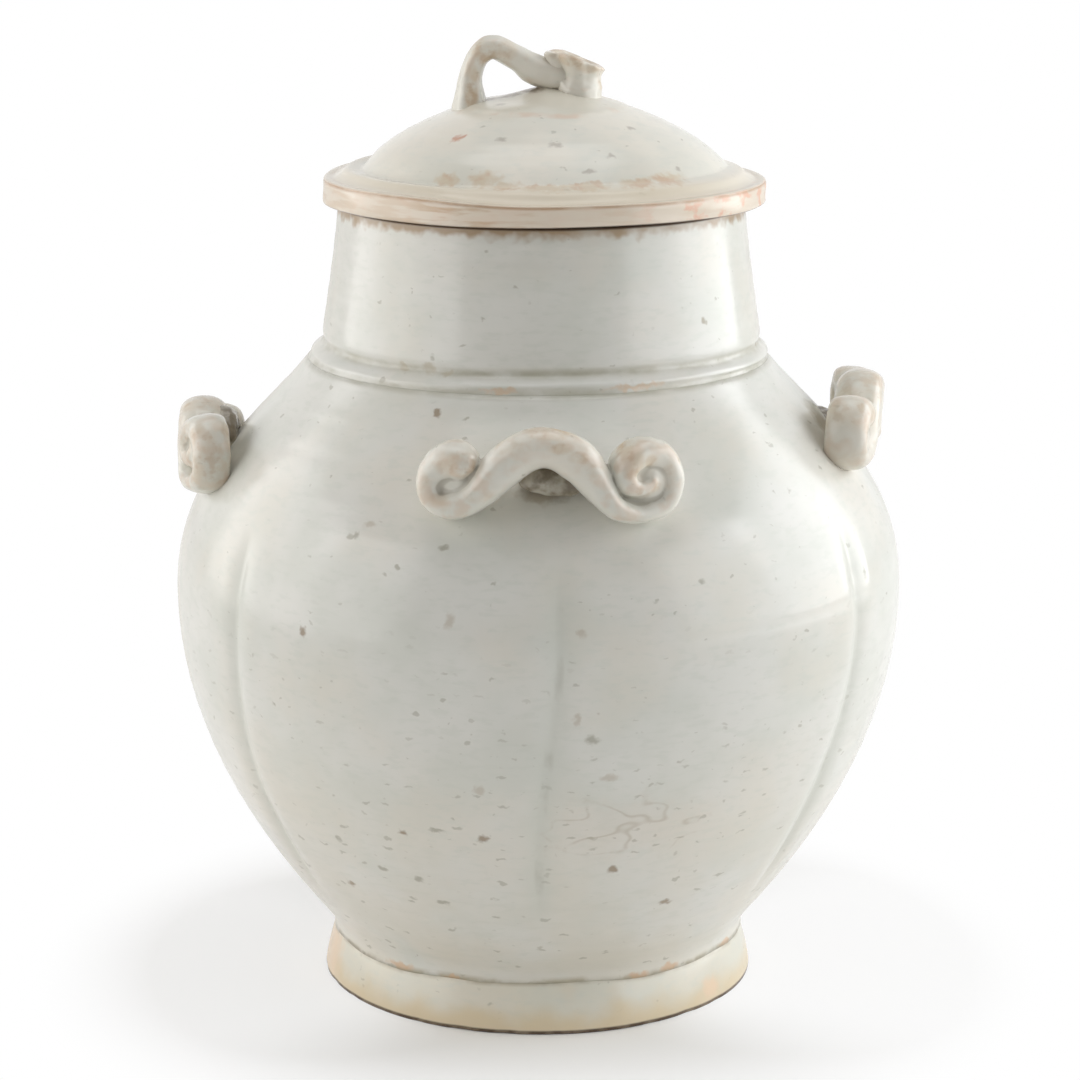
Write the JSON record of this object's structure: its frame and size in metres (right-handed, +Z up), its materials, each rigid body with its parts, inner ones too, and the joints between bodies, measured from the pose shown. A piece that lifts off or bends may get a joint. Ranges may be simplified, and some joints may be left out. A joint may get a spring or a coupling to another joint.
{
  "type": "lidded ceramic jar",
  "caption": "Lobed round-bellied jar on a foot ring, with a straight neck, scrolled shoulder lugs and a lift-off domed lid with a twig handle, in pale grey-green glaze.",
  "frame": {"origin": "centre of the foot ring's resting plane, on the body's axis", "axes": "+Z up along the body's axis, -Y towards the front lug, +X to the viewer's right"},
  "size_m": [0.2076, 0.2072, 0.271],
  "materials": {
    "celadon_glaze": "pale grey-green glaze with fine pits and brown flecks",
    "stained_glaze": "thin glaze worn and stained pinkish brown on its edges",
    "foot_clay": "patchy glaze over bare buff clay",
    "bare_clay": "unglazed fired clay"
  },
  "bodies": {
    "jar": {"foot_ring": "foot_clay", "body": "celadon_glaze", "neck": "celadon_glaze", "front_lug": "stained_glaze", "front_lug_stub": "celadon_glaze", "right_lug": "stained_glaze", "right_lug_stub": "celadon_glaze", "back_lug": "stained_glaze", "back_lug_stub": "celadon_glaze", "left_lug": "stained_glaze", "left_lug_stub": "celadon_glaze"},
    "lid": {"lid_dome": "celadon_glaze", "lid_locating_ring": "bare_clay", "handle_twig": "stained_glaze", "handle_stalk_end": "stained_glaze"}
  },
  "joints": [
    {"name": "lid_lift", "type": "slide", "parent": "jar", "child": "lid", "axis": [0, 0, 1], "range_m": [0, 0.06]}
  ]
}
